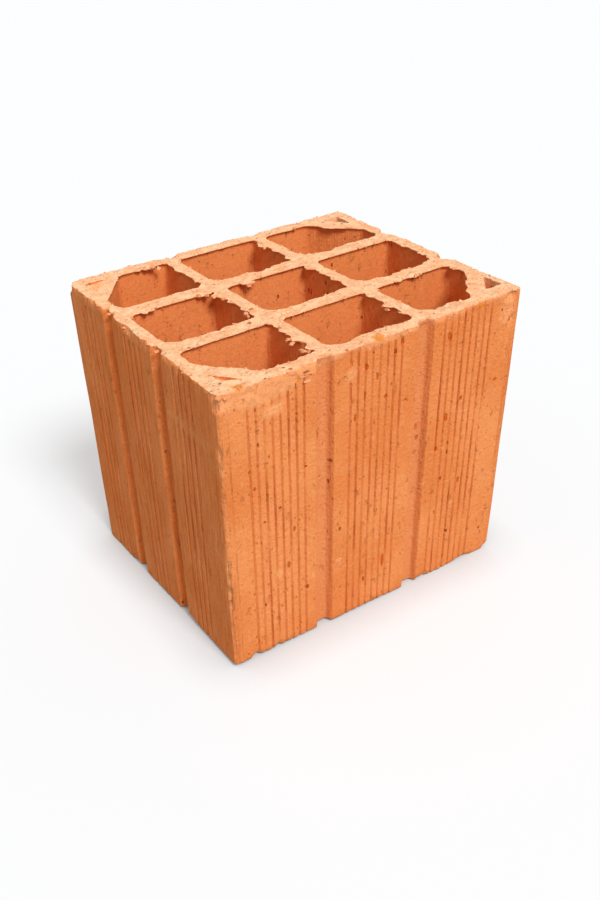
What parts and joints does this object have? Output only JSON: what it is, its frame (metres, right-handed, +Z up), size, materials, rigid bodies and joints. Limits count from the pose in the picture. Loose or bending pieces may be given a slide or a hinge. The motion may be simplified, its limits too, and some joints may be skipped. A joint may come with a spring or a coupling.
{
  "type": "hollow clay brick",
  "caption": "Hollow fired clay building brick: a rectangular block with a grid of open cells, braced corners, keying grooves and fine score lines on every side.",
  "frame": {"origin": "centre of the bottom face", "axes": "+X along the long side, +Y across the short side, +Z up along the cells"},
  "size_m": [0.19, 0.16, 0.172],
  "materials": {
    "fired_clay": "matte"
  },
  "bodies": {
    "root": {"hollow_brick": "fired_clay"}
  },
  "joints": []
}
